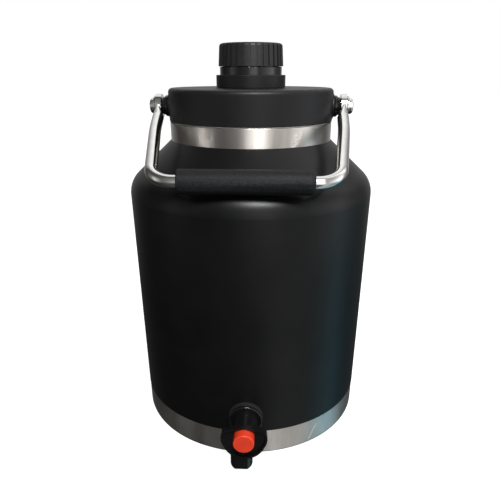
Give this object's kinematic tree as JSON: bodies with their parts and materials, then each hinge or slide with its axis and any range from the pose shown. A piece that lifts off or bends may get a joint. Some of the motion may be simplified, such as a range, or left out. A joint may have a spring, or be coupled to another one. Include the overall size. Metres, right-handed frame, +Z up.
{
  "type": "insulated drink jug with tap",
  "caption": "Black double-wall vacuum jug with bare steel neck and base bands, screw lid with ribbed spout cap, swinging bail handle and push-button tap.",
  "frame": {"origin": "centre of the base, in the plane that the jug stands on", "axes": "+Z up along the vessel's axis; -Y is the front, where the tap is; +X is across the handle's pivots"},
  "size_m": [0.19, 0.2216, 0.2963],
  "materials": {
    "shell_paint": "fine satin powder coat",
    "bare_steel": "brushed around the axis",
    "inner_steel": "spun, satin",
    "handle_steel": "polished stainless steel",
    "bolt_steel": "polished stainless steel",
    "lid_plastic": "matte moulded polypropylene",
    "cap_plastic": "matte moulded polypropylene",
    "gloss_black": "glossy moulded plastic",
    "tap_plastic": "glossy moulded plastic",
    "button_red": "satin moulded plastic",
    "grip_foam": "fine-celled rubber foam",
    "seal_rubber": "smooth rubber",
    "silicone": "translucent silicone",
    "insulation": null,
    "spring_steel": "drawn wire",
    "insert_brass": "turned brass"
  },
  "bodies": {
    "vessel": {"outer_shell": "shell_paint", "base_cup": "bare_steel", "vacuum_seal": "inner_steel", "neck_ring": "bare_steel", "inner_floor": "inner_steel", "inner_corner": "inner_steel", "inner_wall": "inner_steel", "inner_neck": "inner_steel", "getter_capsule": "inner_steel", "tap_port": "inner_steel", "tap_gasket": "seal_rubber", "tap_gland": "tap_plastic", "tap_inner_gasket": "seal_rubber", "tap_lock_nut": "tap_plastic", "tap_body": "tap_plastic", "tap_stem_seal": "seal_rubber", "tap_spring": "spring_steel"},
    "tap_push": {"tap_button": "button_red", "tap_stem": "tap_plastic", "tap_valve_seal": "seal_rubber"},
    "lid_carrier": {"lid_gasket": "silicone"},
    "lid": {"lid_shell": "lid_plastic", "lid_plug": "lid_plastic", "lid_foam": "insulation", "spout_neck": "gloss_black", "pivot_inserts": "insert_brass", "pivot_bushes": "gloss_black", "pivot_spacers": "gloss_black", "pivot_washers": "bolt_steel", "pivot_bolts": "bolt_steel"},
    "handle": {"handle_bail": "handle_steel", "handle_grip": "grip_foam"},
    "cap_carrier": {"cap_gasket": "silicone"},
    "cap": {"cap_shell": "cap_plastic"}
  },
  "joints": [
    {"name": "lid_rise", "type": "slide", "parent": "vessel", "child": "lid_carrier", "axis": [0, 0, 1], "range_m": [0, 0.02401]},
    {"name": "lid_turn", "type": "hinge", "parent": "lid_carrier", "child": "lid", "pos_m": [0, 0, 0.2444], "axis": [0, 0, 1], "range_deg": [0, 1080]},
    {"name": "handle_swing", "type": "hinge", "parent": "lid", "child": "handle", "pos_m": [0, 0, 0.2542], "axis": [-1, 0, 0], "range_deg": [0, 226]},
    {"name": "cap_rise", "type": "slide", "parent": "lid", "child": "cap_carrier", "axis": [0, 0, 1], "range_m": [0, 0.01126]},
    {"name": "cap_turn", "type": "hinge", "parent": "cap_carrier", "child": "cap", "pos_m": [0, 0, 0.2814], "axis": [0, 0, 1], "range_deg": [0, 810]},
    {"name": "tap_press", "type": "slide", "parent": "vessel", "child": "tap_push", "axis": [0, 1, 0], "range_m": [0, 0.004], "stiffness_N_per_m": 1200, "springref_m": -0.003, "deforming": ["tap_spring"]}
  ],
  "couplings": [
    {"joint": "lid_rise", "follows": "lid_turn", "m_per_rad": 0.0012732},
    {"joint": "cap_rise", "follows": "cap_turn", "m_per_rad": 0.00079577}
  ]
}
